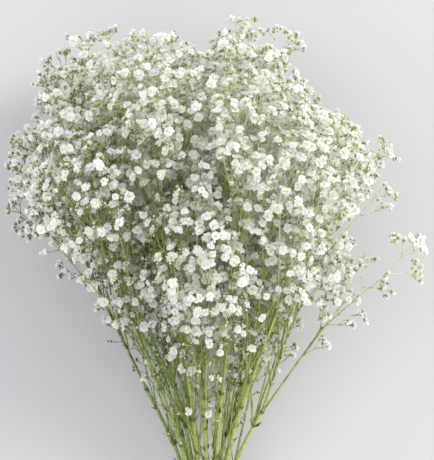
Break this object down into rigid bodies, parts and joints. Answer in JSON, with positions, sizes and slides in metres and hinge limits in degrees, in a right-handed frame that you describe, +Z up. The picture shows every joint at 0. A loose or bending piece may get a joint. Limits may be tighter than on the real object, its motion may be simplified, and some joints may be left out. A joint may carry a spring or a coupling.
{
  "type": "bunch of gypsophila stems",
  "caption": "Loose bunch of cut gypsophila stems, forking from bare green stalks into a wide airy head of tiny double white florets.",
  "frame": {"origin": "on the surface that the bunch lies on, under the middle of its bounding box", "axes": "+Y along the bunch from the cut ends to the flower heads, +X to its right seen from above, +Z up"},
  "size_m": [0.3181, 0.5494, 0.1898],
  "materials": {
    "whole_stem": "matt mix of white florets and green twigs",
    "stem_green": "satin fresh green stalk",
    "petal_white": "matt thin petals"
  },
  "bodies": {
    "root": {"stem_01": "whole_stem", "stem_02": "whole_stem", "stem_03": "whole_stem", "stem_04": "whole_stem", "stem_05": "whole_stem", "stem_06": "whole_stem", "stem_07": "whole_stem", "stem_08": "whole_stem", "stem_09": "whole_stem", "stem_10": "whole_stem", "stem_11": "whole_stem", "stem_12": "whole_stem", "stem_13": "whole_stem", "stem_14": "whole_stem", "stem_15": "whole_stem", "stem_16": "whole_stem"}
  },
  "joints": []
}
